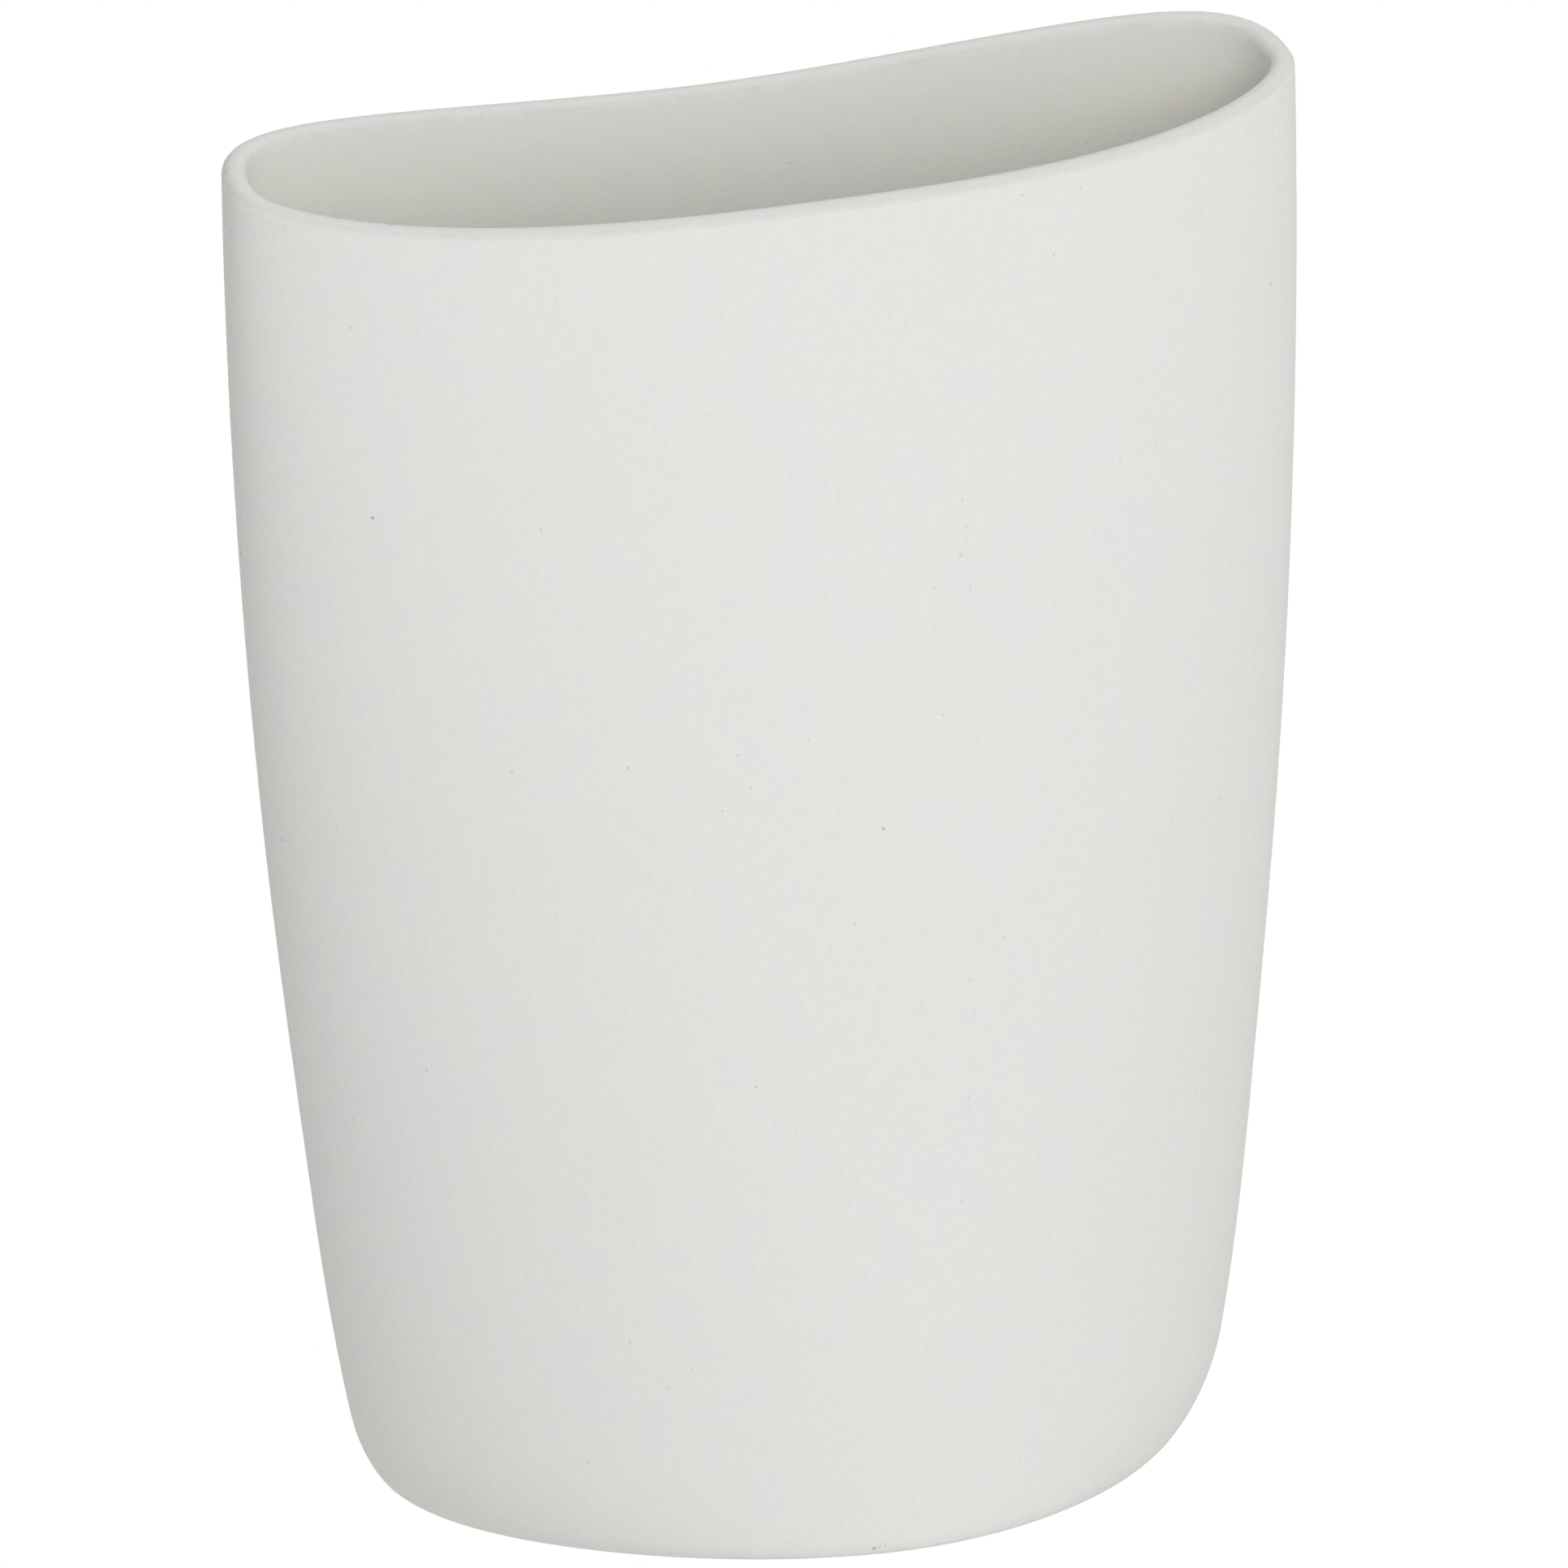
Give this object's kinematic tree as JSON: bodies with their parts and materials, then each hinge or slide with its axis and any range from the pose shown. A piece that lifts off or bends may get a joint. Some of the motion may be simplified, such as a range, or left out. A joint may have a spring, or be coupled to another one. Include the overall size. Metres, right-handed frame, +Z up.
{
  "type": "hanging wall vase",
  "caption": "Flat-backed ceramic pocket vase with an open oval mouth, hung on a wall screw through a keyhole in its back.",
  "frame": {"origin": "the screw's axis where it leaves the face of the wall, at the mouth of the wall plug", "axes": "+Z up, -Y out of the wall towards the front of the vase, +Y into the wall along the screw, +X to the right as seen from the front"},
  "size_m": [0.15, 0.0925, 0.1863],
  "materials": {
    "ceramic": "unglazed matte off-white with fine grain",
    "steel": "zinc plated, satin",
    "plug_plastic": "grey moulded nylon"
  },
  "bodies": {
    "wall_fixing": {"wall_plug": "plug_plastic", "wall_screw": "steel"},
    "vase": {"vase_body": "ceramic"}
  },
  "joints": [
    {"name": "lift_off", "type": "slide", "parent": "wall_fixing", "child": "vase", "axis": [0, 0, 1], "range_m": [0, 0.009]}
  ]
}
